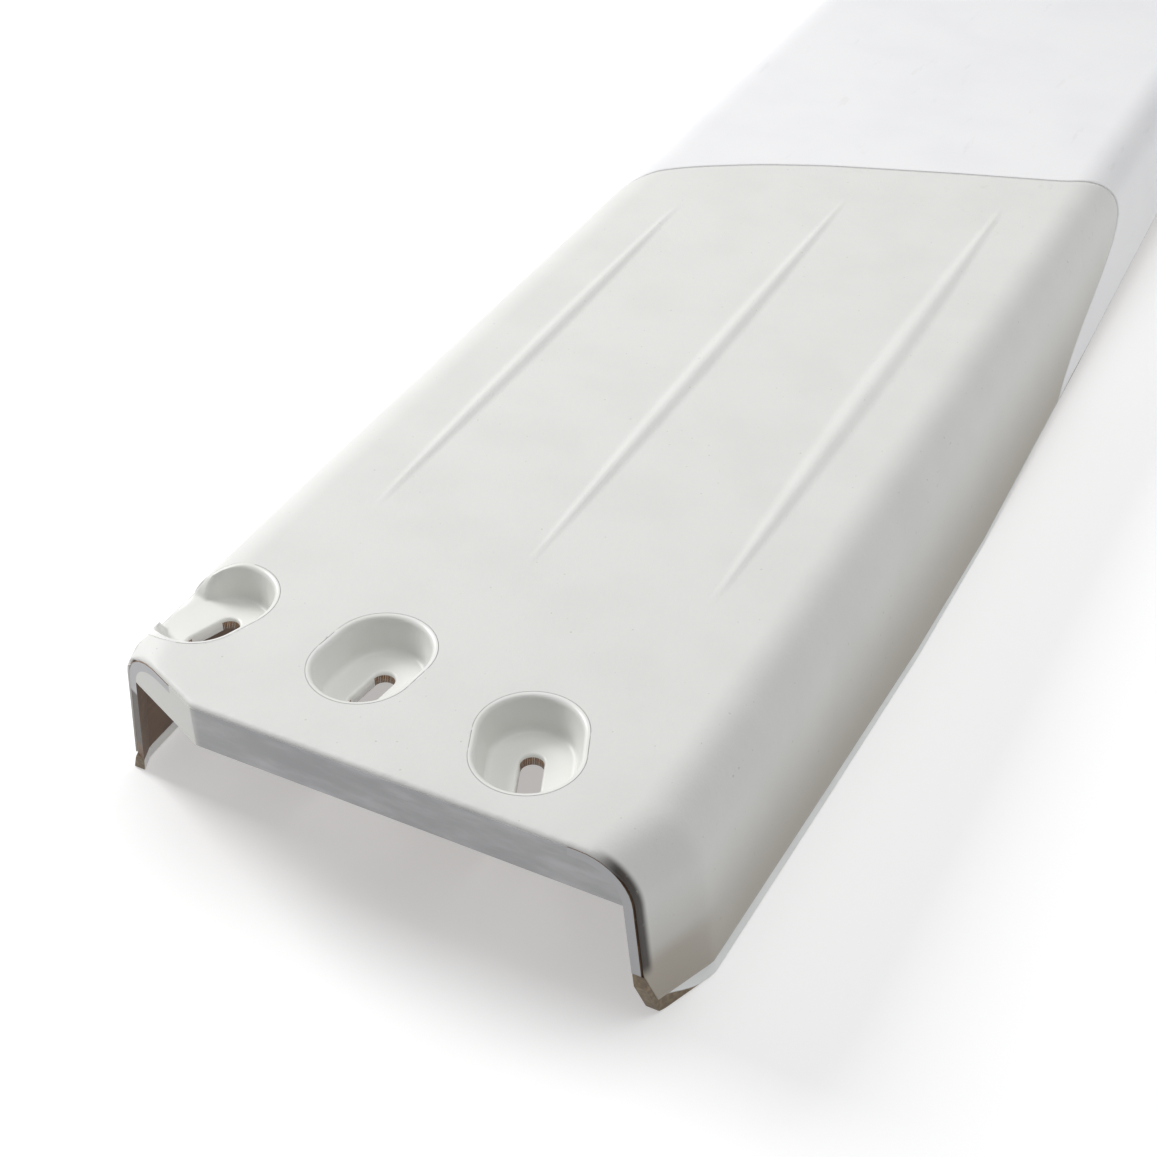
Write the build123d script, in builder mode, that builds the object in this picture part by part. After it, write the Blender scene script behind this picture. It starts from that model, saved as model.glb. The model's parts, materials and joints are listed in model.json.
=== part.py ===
"""Deep-channel diving board: a skinned timber and laminate deck with two side skirts and three bolt pockets.

+X is to the right of a diver who faces the water, +Y runs to the tip and +Z is up. The origin is under
the middle of the board, at the level of the lowest point of its skirts.
"""

import math
import os

from build123d import *

# ---- driving dimensions, in millimetres and degrees ----
BOARD_LENGTH = 1829.0  # a 6 ft board
SKIRT_DEPTH = 138.0  # deck surface to the lowest edge of the skirts
DECK_THICKNESS = 38.0  # deck surface to the flat underside

SKIN = 3.0  # moulded outer skin
LAMINATE = 7.0  # glass laminate under the skin
LOWER_LAMINATE = 3.0  # glass laminate under the core
END_CAP = 3.0  # plates that close the core at the rear

# Cross-sections from the rear to the tip: place behind the tip, half width of the flat deck,
# shoulder radius, and lean of the skirt away from upright.
STATIONS = [
    (0.0, 168.0, 42.0, 6.0),
    (55.0, 185.0, 45.0, 7.5),
    (240.0, 187.0, 45.0, 9.5),
    (430.0, 187.0, 45.0, 12.3),
    (BOARD_LENGTH, 187.0, 45.0, 12.3),
]
PANEL_HALF_WIDTH = 160.0  # where the deck laminate meets the rails
NOSE_HALF_WIDTH = 254.0
NOSE_RADIUS = 85.0  # corners of the tip seen from above
NOSE_ROUND = 40.0  # top edge of the tip
NOSE_RAIL = 110.0  # length of the rail piece that turns round the tip

# The lower edge of the skirts is level from the rear and then rises to the tip.
LEVEL_EDGE = 600.0
TIP_SKIRT_DEPTH = 62.0
REAR_TOE = (8.0, 27.0)  # length and height of the corner cut off each skirt at the rear

# Left rear corner, cut off at a slant.
CORNER_ALONG_REAR = 133.0  # from the centre line to where the cut starts
CORNER_SLOPE = 0.44  # forward run for each unit of width

# Bolt pockets: centre from the centre line, centre from the rear edge, turn from straight back.
POCKETS = [(-185.0, 100.0, -20.0), (-47.0, 99.0, -6.0), (94.0, 72.0, 22.0)]
POCKET_WIDTH = 71.0
POCKET_STRETCH = 22.0  # extra length over the width
POCKET_DEPTH = 28.0
POCKET_DRAFT = 8.0
CUP_WALL = 3.0
CUP_RIM_WIDTH = 5.0
CUP_RIM_DEPTH = 1.5
SLOT_WIDTH = 17.0
SLOT_LENGTH = 44.0
SLOT_SETBACK = 4.0  # slot centre behind the pocket centre

# Raised grip ribs: place across, rear point and front point from the rear edge.
RIBS = [(-142.0, 255.0, 812.0), (0.0, 247.0, 890.0), (142.0, 262.0, 942.0)]
RIB_WIDTH = 24.0
RIB_HEIGHT = 3.0

# Front limit of the textured tread, from left to right, as places across and from the rear edge.
SEAM = [
    (-262.0, 600.0), (-226.0, 762.0), (-208.0, 835.0), (-164.0, 891.0), (-104.0, 926.0),
    (-42.0, 953.0), (78.0, 993.0), (185.0, 1028.0), (222.0, 1020.0), (238.0, 930.0), (262.0, 760.0),
]

# Edge bands along the foot of the skirts.
BAND_HEIGHT = 12.0
BAND_END = 940.0  # where the band has run out to nothing
BAND_END_HEIGHT = 1.5

# Core.
BOLT_BLOCK_END = 215.0
TIP_BLOCK = 130.0
STRINGERS = 5

# Pad where the board bears on its fulcrum, let into the lower laminate.
FULCRUM = 540.0
PAD_LENGTH = 150.0
PAD_WIDTH = 360.0
PAD_STANDS_OUT = 4.0

# ---- derived values ----
REAR = -BOARD_LENGTH / 2
DECK = SKIRT_DEPTH
UNDERSIDE = DECK - DECK_THICKNESS
CORE_BOTTOM = UNDERSIDE + LOWER_LAMINATE
WIDE = 400.0  # larger than the board's half width
TALL = 400.0  # larger than its height
SHELL = SKIN + LAMINATE


def section(station: tuple, inset: float) -> Sketch:
    """One filled cross-section, inset from the outer surface."""
    along, flat, radius, lean = station
    angle = math.radians(lean)
    turn = radius - inset
    centre = (flat, DECK - radius)
    shoulder = (centre[0] + turn * math.cos(angle), centre[1] + turn * math.sin(angle))
    middle_angle = (angle + math.pi / 2) / 2
    middle = (centre[0] + turn * math.cos(middle_angle), centre[1] + turn * math.sin(middle_angle))
    foot = -BAND_HEIGHT
    foot_x = shoulder[0] + (shoulder[1] - foot) * math.tan(angle)
    top = DECK - inset
    with BuildSketch(Plane.XZ.offset(-(REAR + along)), mode=Mode.PRIVATE) as profile:
        with BuildLine():
            Line((foot_x, foot), shoulder)
            ThreePointArc(shoulder, middle, (flat, top))
            Line((flat, top), (-flat, top))
            ThreePointArc((-flat, top), (-middle[0], middle[1]), (-shoulder[0], shoulder[1]))
            Line((-shoulder[0], shoulder[1]), (-foot_x, foot))
            Line((-foot_x, foot), (foot_x, foot))
        make_face()
    return profile.sketch


def plan_prism(points: list, bottom: float = -TALL, top: float = TALL) -> Part:
    """An upright prism on a plan outline given by its corners."""
    with BuildPart(mode=Mode.PRIVATE) as prism:
        with BuildSketch(Plane.XY.offset(bottom)):
            with BuildLine():
                Polyline(*points, close=True)
            make_face()
        extrude(amount=top - bottom)
    return prism.part


def slab(x: tuple, y: tuple, z: tuple) -> Part:
    """A box between two limits on each axis, with y measured from the rear edge."""
    centre = [(x[0] + x[1]) / 2, REAR + (y[0] + y[1]) / 2, (z[0] + z[1]) / 2]
    return Pos(*centre) * Box(x[1] - x[0], y[1] - y[0], z[1] - z[0], mode=Mode.PRIVATE)


def corner_cut(inset: float) -> Part:
    """What the slanted cut takes off the left rear corner, moved in by an inset."""
    length = math.hypot(1.0, CORNER_SLOPE)
    shift = (inset * CORNER_SLOPE / length, inset / length)
    inner = (-CORNER_ALONG_REAR + shift[0], REAR + shift[1])
    return plan_prism([
        (inner[0] + WIDE, inner[1] - CORNER_SLOPE * WIDE),
        (inner[0] - WIDE, inner[1] + CORNER_SLOPE * WIDE),
        (inner[0] - WIDE, inner[1] - WIDE),
        (inner[0] + WIDE, inner[1] - WIDE),
    ])


def edge_cut(raise_by) -> Part:
    """What lies below the skirts' lower edge, raised by an amount that depends on the place along."""
    with BuildPart(mode=Mode.PRIVATE) as cut:
        with BuildSketch(Plane.YZ.offset(-WIDE)):
            with BuildLine():
                points = [(REAR - 1, -TALL), (REAR - 1, REAR_TOE[1] + raise_by(0)),
                          (REAR, REAR_TOE[1] + raise_by(0)), (REAR + REAR_TOE[0], raise_by(REAR_TOE[0]))]
                steps = [LEVEL_EDGE, BAND_END, BOARD_LENGTH + 1]
                points += [(REAR + y, edge_height(y) + raise_by(y)) for y in steps]
                points.append((REAR + BOARD_LENGTH + 1, -TALL))
                Polyline(*points, close=True)
            make_face()
        extrude(amount=2 * WIDE)
    return cut.part


def edge_height(along: float) -> float:
    """Height of the skirts' lower edge at a distance from the rear."""
    rise = max(0.0, along - LEVEL_EDGE)
    run = BOARD_LENGTH - LEVEL_EDGE
    return (SKIRT_DEPTH - TIP_SKIRT_DEPTH) * rise / run


def band_height(along: float) -> float:
    """Height of the edge band, which runs out to nothing towards the tip."""
    share = min(1.0, max(0.0, along / BAND_END))
    return BAND_HEIGHT + (BAND_END_HEIGHT - BAND_HEIGHT) * share if along < BAND_END else BAND_END_HEIGHT


def block(inset: float) -> Part:
    """The board's filled outer form, inset all round, open at the rear and not yet cut below."""
    front = REAR + BOARD_LENGTH - inset
    half = NOSE_HALF_WIDTH - inset
    top = DECK - inset
    with BuildPart(mode=Mode.PRIVATE) as body:
        loft(sections=[section(station, inset) for station in STATIONS], ruled=True)
        with BuildSketch(Plane.XY.offset(-TALL)) as plan:
            with Locations((0, (REAR - 1 + front) / 2)):
                Rectangle(2 * half, front - REAR + 1)
            fillet(plan.vertices().group_by(Axis.Y)[-1], NOSE_RADIUS - inset)
        extrude(amount=2 * TALL, mode=Mode.INTERSECT)
        with BuildSketch(Plane.YZ.offset(-WIDE)) as side:
            with Locations(((REAR - 1 + front) / 2, top - TALL / 2)):
                Rectangle(front - REAR + 1, TALL)
            fillet(side.vertices().group_by(Axis.X)[-1].sort_by(Axis.Y)[-1], NOSE_ROUND - inset)
        extrude(amount=2 * WIDE, mode=Mode.INTERSECT)
    return body.part


def pocket_plane(pocket: tuple, height: float) -> Plane:
    """The level plane of a pocket at a height, with its X axis towards the front of the pocket."""
    across, along, turn = pocket
    return Plane(origin=(across, REAR + along, height), x_dir=Vector(0, 1, 0).rotate(Axis.Z, turn),
                 z_dir=(0, 0, 1))


def stadium(pocket: tuple, grow: float, top: float, bottom: float, taper: float = 0.0) -> Part:
    """A stadium prism on a pocket's centre, from one height down to another."""
    with BuildPart(mode=Mode.PRIVATE) as prism:
        with BuildSketch(pocket_plane(pocket, top)):
            width = POCKET_WIDTH + 2 * grow
            SlotOverall(width + POCKET_STRETCH, width)
        extrude(amount=-(top - bottom), taper=taper)
    return prism.part


def slot(pocket: tuple) -> Part:
    """The bolt slot of a pocket, through everything below it."""
    with BuildPart(mode=Mode.PRIVATE) as prism:
        with BuildSketch(pocket_plane(pocket, DECK)):
            with Locations((-SLOT_SETBACK, 0)):
                SlotOverall(SLOT_LENGTH, SLOT_WIDTH)
        extrude(amount=-TALL)
    return prism.part


def side_mouth(bottom: float, grow: float) -> Part:
    """The outlet that the left pocket makes through the shoulder, down to a height."""
    across, along, turn = POCKETS[0]
    reach = POCKET_WIDTH / 2 + grow
    mouth = Pos(-WIDE / 2, 0, (bottom + TALL) / 2) * Box(WIDE, 2 * reach, TALL - bottom, mode=Mode.PRIVATE)
    return Pos(across, REAR + along, 0) * Rot(0, 0, turn / 2) * mouth


POCKET_FLOOR = DECK - POCKET_DEPTH

outer = block(0)
under_skin = block(SKIN)
inside = block(SHELL)
left_corner = corner_cut(0)
left_corner_plate = corner_cut(END_CAP)
foot = edge_cut(band_height)
tread_area = plan_prism([(x, REAR + y) for x, y in SEAM] + [(WIDE, REAR + SEAM[-1][1]),
                        (WIDE, REAR - 1), (-WIDE, REAR - 1), (-WIDE, REAR + SEAM[0][1])])
cup_recess = [stadium(p, CUP_WALL, TALL, POCKET_FLOOR - CUP_WALL) for p in POCKETS]
rim_recess = [stadium(p, CUP_RIM_WIDTH, TALL, DECK - CUP_RIM_DEPTH) for p in POCKETS]
slots = [slot(p) for p in POCKETS]
mouth_recess = side_mouth(POCKET_FLOOR - CUP_WALL, CUP_WALL)

os.makedirs("parts", exist_ok=True)


def save(piece: Part, name: str) -> None:
    """Labels a finished piece and writes its STEP file."""
    piece.label = name
    export_step(piece, f"parts/{name}.step")


# ---- outer skins ----
with BuildPart() as tread_skin:
    add(outer)
    add(under_skin, mode=Mode.SUBTRACT)
    add(slab((-WIDE, WIDE), (-10, BOARD_LENGTH), (-TALL, 0)), mode=Mode.SUBTRACT)
    add(foot, mode=Mode.SUBTRACT)
    add(left_corner, mode=Mode.SUBTRACT)
    add(tread_area, mode=Mode.INTERSECT)
    for across, rib_rear, rib_front in RIBS:
        length = rib_front - rib_rear
        with BuildSketch(Plane.XY.offset(DECK - SKIN / 2)):
            with BuildLine(Plane(origin=(across, REAR + rib_rear, 0))):
                ThreePointArc((0, 0), (RIB_WIDTH / 2, length / 2), (0, length))
                ThreePointArc((0, length), (-RIB_WIDTH / 2, length / 2), (0, 0))
            make_face()
        extrude(amount=RIB_HEIGHT + SKIN / 2)
    for recess in (*cup_recess, *rim_recess, mouth_recess):
        add(recess, mode=Mode.SUBTRACT)
save(tread_skin.part, "tread_skin")

with BuildPart() as front_skin:
    add(outer)
    add(under_skin, mode=Mode.SUBTRACT)
    add(foot, mode=Mode.SUBTRACT)
    add(tread_area, mode=Mode.SUBTRACT)
save(front_skin.part, "front_skin")

# ---- laminate shell: deck panel, two side rails and the rail round the tip ----
deck_zone = slab((-PANEL_HALF_WIDTH, PANEL_HALF_WIDTH), (-10, BOARD_LENGTH + 10), (UNDERSIDE, TALL))
nose_start = BOARD_LENGTH - NOSE_RAIL

with BuildPart() as deck_laminate:
    add(under_skin)
    add(inside, mode=Mode.SUBTRACT)
    add(deck_zone, mode=Mode.INTERSECT)
    add(slab((-WIDE, WIDE), (-10, END_CAP), (-TALL, TALL)), mode=Mode.SUBTRACT)
    add(left_corner_plate, mode=Mode.SUBTRACT)
    for recess in cup_recess:
        add(recess, mode=Mode.SUBTRACT)
save(deck_laminate.part, "deck_laminate")

SIDES = {"left": -1, "right": 1}
for side_name, side_sign in SIDES.items():
    limits = sorted((0.0, side_sign * WIDE))
    with BuildPart() as side_rail:
        add(under_skin)
        add(inside, mode=Mode.SUBTRACT)
        add(deck_zone, mode=Mode.SUBTRACT)
        add(slab(tuple(limits), (-10, nose_start), (-TALL, TALL)), mode=Mode.INTERSECT)
        add(foot, mode=Mode.SUBTRACT)
        add(left_corner, mode=Mode.SUBTRACT)
        for recess in (*cup_recess, mouth_recess):
            add(recess, mode=Mode.SUBTRACT)
    save(side_rail.part, f"side_rail_{side_name}")

with BuildPart() as nose_rail:
    add(under_skin)
    add(inside, mode=Mode.SUBTRACT)
    add(deck_zone, mode=Mode.SUBTRACT)
    add(slab((-WIDE, WIDE), (nose_start, BOARD_LENGTH + 10), (-TALL, TALL)), mode=Mode.INTERSECT)
    add(foot, mode=Mode.SUBTRACT)
save(nose_rail.part, "nose_rail")

# ---- core, between the deck laminate and the lower laminate ----
with BuildPart() as core:
    add(inside)
    add(slab((-WIDE, WIDE), (END_CAP, BOARD_LENGTH), (CORE_BOTTOM, TALL)), mode=Mode.INTERSECT)
    add(left_corner_plate, mode=Mode.SUBTRACT)
core_body = core.part
tip_start = BOARD_LENGTH - TIP_BLOCK

with BuildPart() as bolt_block:
    add(core_body)
    add(slab((-WIDE, WIDE), (0, BOLT_BLOCK_END), (-TALL, TALL)), mode=Mode.INTERSECT)
    for recess in (*cup_recess, *slots, mouth_recess):
        add(recess, mode=Mode.SUBTRACT)
save(bolt_block.part, "bolt_block")

with BuildPart() as tip_block:
    add(core_body)
    add(slab((-WIDE, WIDE), (tip_start, BOARD_LENGTH), (-TALL, TALL)), mode=Mode.INTERSECT)
save(tip_block.part, "tip_block")

stringer_width = 2 * NOSE_HALF_WIDTH / STRINGERS
for number in range(STRINGERS):
    left_edge = -NOSE_HALF_WIDTH + number * stringer_width
    with BuildPart() as stringer:
        add(core_body)
        add(slab((left_edge, left_edge + stringer_width), (BOLT_BLOCK_END, tip_start), (-TALL, TALL)),
            mode=Mode.INTERSECT)
    save(stringer.part, f"stringer_{number + 1}")

pad_box = slab((-PAD_WIDTH / 2, PAD_WIDTH / 2), (FULCRUM - PAD_LENGTH / 2, FULCRUM + PAD_LENGTH / 2),
               (UNDERSIDE - PAD_STANDS_OUT, CORE_BOTTOM))

with BuildPart() as lower_laminate:
    add(inside)
    add(slab((-WIDE, WIDE), (END_CAP, BOARD_LENGTH), (UNDERSIDE, CORE_BOTTOM)), mode=Mode.INTERSECT)
    add(left_corner_plate, mode=Mode.SUBTRACT)
    for recess in (*slots, pad_box):
        add(recess, mode=Mode.SUBTRACT)
save(lower_laminate.part, "lower_laminate")

# ---- plates that close the rear ----
with BuildPart() as panel_zone:
    add(under_skin)
    add(deck_zone, mode=Mode.INTERSECT)

with BuildPart() as end_zone:
    add(inside)
    add(panel_zone.part)
    add(slab((-WIDE, WIDE), (-10, BOLT_BLOCK_END), (UNDERSIDE, TALL)), mode=Mode.INTERSECT)
end_body = end_zone.part

with BuildPart() as rear_plate:
    add(end_body)
    add(slab((-WIDE, WIDE), (-10, END_CAP), (-TALL, TALL)), mode=Mode.INTERSECT)
    add(left_corner_plate, mode=Mode.SUBTRACT)
save(rear_plate.part, "rear_plate")

with BuildPart() as corner_plate:
    add(end_body)
    add(left_corner_plate, mode=Mode.INTERSECT)
    add(left_corner, mode=Mode.SUBTRACT)
    for recess in (*cup_recess, mouth_recess):
        add(recess, mode=Mode.SUBTRACT)
save(corner_plate.part, "corner_plate")

# ---- bolt pocket cups ----
for number, pocket in enumerate(POCKETS, start=1):
    with BuildPart() as cup:
        add(stadium(pocket, CUP_WALL, DECK, POCKET_FLOOR - CUP_WALL))
        add(stadium(pocket, CUP_RIM_WIDTH, DECK, DECK - CUP_RIM_DEPTH))
        add(outer, mode=Mode.INTERSECT)
        add(stadium(pocket, 0, DECK, POCKET_FLOOR, POCKET_DRAFT), mode=Mode.SUBTRACT)
        add(slots[number - 1], mode=Mode.SUBTRACT)
        if number == 1:
            add(side_mouth(POCKET_FLOOR, -CUP_WALL), mode=Mode.SUBTRACT)
    save(cup.part, f"pocket_cup_{number}")

# ---- edge bands along the foot of the skirts, and the fulcrum pad ----
for side_name, side_sign in SIDES.items():
    limits = sorted((0.0, side_sign * WIDE))
    with BuildPart() as band:
        add(outer)
        add(inside, mode=Mode.SUBTRACT)
        add(slab(tuple(limits), (-10, nose_start), (-TALL, SKIRT_DEPTH / 2)), mode=Mode.INTERSECT)
        add(foot, mode=Mode.INTERSECT)
        add(edge_cut(lambda along: 0.0), mode=Mode.SUBTRACT)
        add(left_corner, mode=Mode.SUBTRACT)
    save(band.part, f"edge_band_{side_name}")

with BuildPart() as fulcrum_pad:
    add(pad_box)
save(fulcrum_pad.part, "fulcrum_pad")
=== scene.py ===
"""Looks of a deep-channel diving board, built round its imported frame.

Every length is in metres in the frame's own axes: +X to the diver's right, +Y to the tip, +Z up.
"""

import json
import logging
import math
from dataclasses import dataclass, field
from enum import Enum
from typing import Callable, Iterable

import bmesh
import bpy
from mathutils import Matrix, Vector
from mathutils import noise as field_noise


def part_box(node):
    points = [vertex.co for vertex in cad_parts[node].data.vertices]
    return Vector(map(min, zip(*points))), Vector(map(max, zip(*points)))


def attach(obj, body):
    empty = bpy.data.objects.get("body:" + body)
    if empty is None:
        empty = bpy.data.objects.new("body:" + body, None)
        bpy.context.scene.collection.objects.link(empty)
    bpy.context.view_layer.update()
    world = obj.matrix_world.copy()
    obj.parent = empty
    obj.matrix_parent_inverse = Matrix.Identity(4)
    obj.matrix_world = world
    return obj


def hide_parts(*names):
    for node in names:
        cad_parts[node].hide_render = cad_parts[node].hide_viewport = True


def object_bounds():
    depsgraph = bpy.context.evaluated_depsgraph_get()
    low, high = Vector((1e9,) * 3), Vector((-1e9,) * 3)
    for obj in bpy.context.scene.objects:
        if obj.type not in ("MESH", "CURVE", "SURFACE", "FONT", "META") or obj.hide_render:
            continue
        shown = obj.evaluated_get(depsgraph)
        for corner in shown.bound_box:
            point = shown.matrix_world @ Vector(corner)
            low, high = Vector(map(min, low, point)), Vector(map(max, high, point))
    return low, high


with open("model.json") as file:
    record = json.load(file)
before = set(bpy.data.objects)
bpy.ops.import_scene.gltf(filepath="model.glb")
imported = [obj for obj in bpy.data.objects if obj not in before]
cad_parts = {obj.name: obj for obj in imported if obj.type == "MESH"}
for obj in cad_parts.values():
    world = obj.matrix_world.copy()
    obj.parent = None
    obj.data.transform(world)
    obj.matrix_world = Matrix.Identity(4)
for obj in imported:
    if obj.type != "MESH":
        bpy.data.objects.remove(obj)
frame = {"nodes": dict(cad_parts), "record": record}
CAD_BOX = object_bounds()

LOG = logging.getLogger("board")
MM = 0.001
Mapping = Callable[[float, float], tuple[float, float, float]]


class Slot(Enum):
    """The record's material slots."""

    TREAD = "tread"
    FRONT = "front_skin"
    LAMINATE = "laminate"
    PAD = "pad"
    BLOCK = "block"
    TIMBER = "timber"
    END_PLATE = "end_plate"
    CUP = "cup"
    BAND = "band"


class Side(Enum):
    """Left or right of the board, as the sign of X."""

    LEFT = -1
    RIGHT = 1


def smooth(value: float) -> float:
    """Eases a value from 0 to 1 with level ends."""
    share = min(1.0, max(0.0, value))
    return share * share * (3.0 - 2.0 * share)


def between(points: list[tuple[float, float]], at: float) -> float:
    """Reads a line of straight runs through a few points.

    Args:
        points: places and values, in rising order of place.
        at: the place to read.

    Returns:
        The value there, held level past both ends.
    """
    if at <= points[0][0]:
        return points[0][1]
    for (low, first), (high, last) in zip(points, points[1:]):
        if at <= high:
            return first + (last - first) * (at - low) / (high - low)
    return points[-1][1]


def linear(code: str) -> tuple[float, float, float, float]:
    """Turns an sRGB hex colour into the linear colour that a shader takes.

    Args:
        code: six hex digits.

    Returns:
        Red, green, blue and 1.
    """
    channels = [int(code[i:i + 2], 16) / 255.0 for i in (0, 2, 4)]
    turned = [c / 12.92 if c <= 0.04045 else ((c + 0.055) / 1.055) ** 2.4 for c in channels]
    return (turned[0], turned[1], turned[2], 1.0)


# ---------------------------------------------------------------- materials


def add_node(tree: bpy.types.NodeTree, kind: str, settings: dict | None = None,
             values: dict | None = None, links: dict | None = None) -> bpy.types.Node:
    """Adds one node with its settings, socket values and incoming links.

    Args:
        tree: the material's node tree.
        kind: the node's type name.
        settings: attributes of the node.
        values: constants for input sockets, by name or index.
        links: output sockets that feed input sockets, by name or index.

    Returns:
        The new node.
    """
    node = tree.nodes.new(kind)
    for name, value in (settings or {}).items():
        setattr(node, name, value)
    for name, value in (values or {}).items():
        node.inputs[name].default_value = value
    for name, source in (links or {}).items():
        tree.links.new(source, node.inputs[name])
    return node


def ramp(tree: bpy.types.NodeTree, source: bpy.types.NodeSocket,
         stops: list[tuple[float, str]]) -> bpy.types.NodeSocket:
    """A colour ramp from hex stops, fed by a socket.

    Args:
        tree: the material's node tree.
        source: the socket to read.
        stops: places from 0 to 1 and hex colours.

    Returns:
        The socket of the colour.
    """
    node = add_node(tree, "ShaderNodeValToRGB", links={"Fac": source})
    elements = node.color_ramp.elements
    while len(elements) < len(stops):
        elements.new(0.5)
    for element, (place, code) in zip(elements, stops):
        element.position = place
        element.color = linear(code)
    return node.outputs["Color"]


def noise(tree: bpy.types.NodeTree, coordinates: bpy.types.NodeSocket, size_mm: float,
          detail: float = 2.0, rough: float = 0.5) -> bpy.types.NodeSocket:
    """Noise whose features are about a real size in millimetres.

    Args:
        tree: the material's node tree.
        coordinates: the socket of the coordinates.
        size_mm: size of a feature.
        detail: octaves of finer noise.
        rough: strength of the finer noise.

    Returns:
        The socket of the noise, 0 to 1.
    """
    node = add_node(tree, "ShaderNodeTexNoise", values={"Scale": 1.0 / (size_mm * MM),
                    "Detail": detail, "Roughness": rough}, links={"Vector": coordinates})
    return node.outputs["Fac"]


def span(tree: bpy.types.NodeTree, source: bpy.types.NodeSocket, low: float,
         high: float) -> bpy.types.NodeSocket:
    """Maps a range of a value to 0 to 1, clamped and eased.

    Args:
        tree: the material's node tree.
        source: the socket to read.
        low: value that gives 0.
        high: value that gives 1.

    Returns:
        The socket of the share.
    """
    node = add_node(tree, "ShaderNodeMapRange", {"interpolation_type": "SMOOTHSTEP"},
                    {"From Min": low, "From Max": high}, {"Value": source})
    return node.outputs["Result"]


def combine(tree: bpy.types.NodeTree, operation: str, first: bpy.types.NodeSocket,
            second: bpy.types.NodeSocket | float) -> bpy.types.NodeSocket:
    """One maths step on two values.

    Args:
        tree: the material's node tree.
        operation: name of the maths step.
        first: the first value.
        second: the second value, a socket or a number.

    Returns:
        The socket of the result.
    """
    node = add_node(tree, "ShaderNodeMath", {"operation": operation}, links={0: first})
    if isinstance(second, float):
        node.inputs[1].default_value = second
    else:
        tree.links.new(second, node.inputs[1])
    return node.outputs["Value"]


def blend_colour(tree: bpy.types.NodeTree, share: bpy.types.NodeSocket,
                 first: bpy.types.NodeSocket | str, second: bpy.types.NodeSocket | str,
                 mode: str = "MIX") -> bpy.types.NodeSocket:
    """Mixes two colours, each a socket or a hex code.

    Args:
        tree: the material's node tree.
        share: how much of the second colour shows.
        first: the colour that shows at 0.
        second: the colour that shows at 1.
        mode: how the colours are mixed.

    Returns:
        The socket of the mixed colour.
    """
    node = add_node(tree, "ShaderNodeMix", {"data_type": "RGBA", "blend_type": mode}, links={0: share})
    for socket, colour in ((6, first), (7, second)):
        if isinstance(colour, str):
            node.inputs[socket].default_value = linear(colour)
        else:
            tree.links.new(colour, node.inputs[socket])
    return node.outputs[2]


@dataclass(frozen=True)
class Finish:
    """What every finish shares: a name, a base colour and constants for the shader.

    Fields:
        name: the material's name.
        colour: sRGB hex of the clean surface.
        shade: sRGB hex of its slow variation.
        roughness: typical roughness of the surface.
        ior: index of refraction.
        grain_mm: size of the surface grain.
        relief_mm: height of the surface grain.
    """

    name: str
    colour: str
    shade: str
    roughness: float
    ior: float = 1.5
    grain_mm: float = 1.0
    relief_mm: float = 0.05

    def start(self) -> tuple[bpy.types.Material, bpy.types.NodeTree, bpy.types.Node, dict]:
        """Makes the material with its shader and splits Object coordinates into axes.

        Returns:
            The material, its tree, its shader and the sockets of the places.
        """
        material = bpy.data.materials.new(self.name)
        material.use_nodes = True
        tree = material.node_tree
        tree.nodes.clear()
        out = add_node(tree, "ShaderNodeOutputMaterial")
        shader = add_node(tree, "ShaderNodeBsdfPrincipled", values={"Roughness": self.roughness,
                          "IOR": self.ior, "Metallic": 0.0})
        tree.links.new(shader.outputs["BSDF"], out.inputs["Surface"])
        place = add_node(tree, "ShaderNodeTexCoord").outputs["Object"]
        axes = add_node(tree, "ShaderNodeSeparateXYZ", links={0: place})
        places = {"all": place, "x": axes.outputs[0], "y": axes.outputs[1], "z": axes.outputs[2]}
        normal = add_node(tree, "ShaderNodeTexCoord").outputs["Normal"]
        facing = add_node(tree, "ShaderNodeSeparateXYZ", links={0: normal})
        places.update({"facing_x": facing.outputs[0], "facing_y": facing.outputs[1]})
        return material, tree, shader, places

    def mottle(self, tree: bpy.types.NodeTree, places: dict, size_mm: float = 60.0) -> bpy.types.NodeSocket:
        """The slow change of colour over the surface."""
        cloud = span(tree, noise(tree, places["all"], size_mm, 3.0), 0.35, 0.7)
        return blend_colour(tree, cloud, self.colour, self.shade)

    def relief(self, tree: bpy.types.NodeTree, shader: bpy.types.Node, height: bpy.types.NodeSocket,
               strength: float = 1.0) -> None:
        """Turns a height from 0 to 1 into bump of the finish's own relief.

        Args:
            tree: the material's node tree.
            shader: the shader to give the bump to.
            height: the socket of the height.
            strength: how strong it is.
        """
        values = {"Strength": strength, "Distance": self.relief_mm * MM}
        bump = add_node(tree, "ShaderNodeBump", values=values, links={"Height": height})
        tree.links.new(bump.outputs["Normal"], shader.inputs["Normal"])


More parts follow.
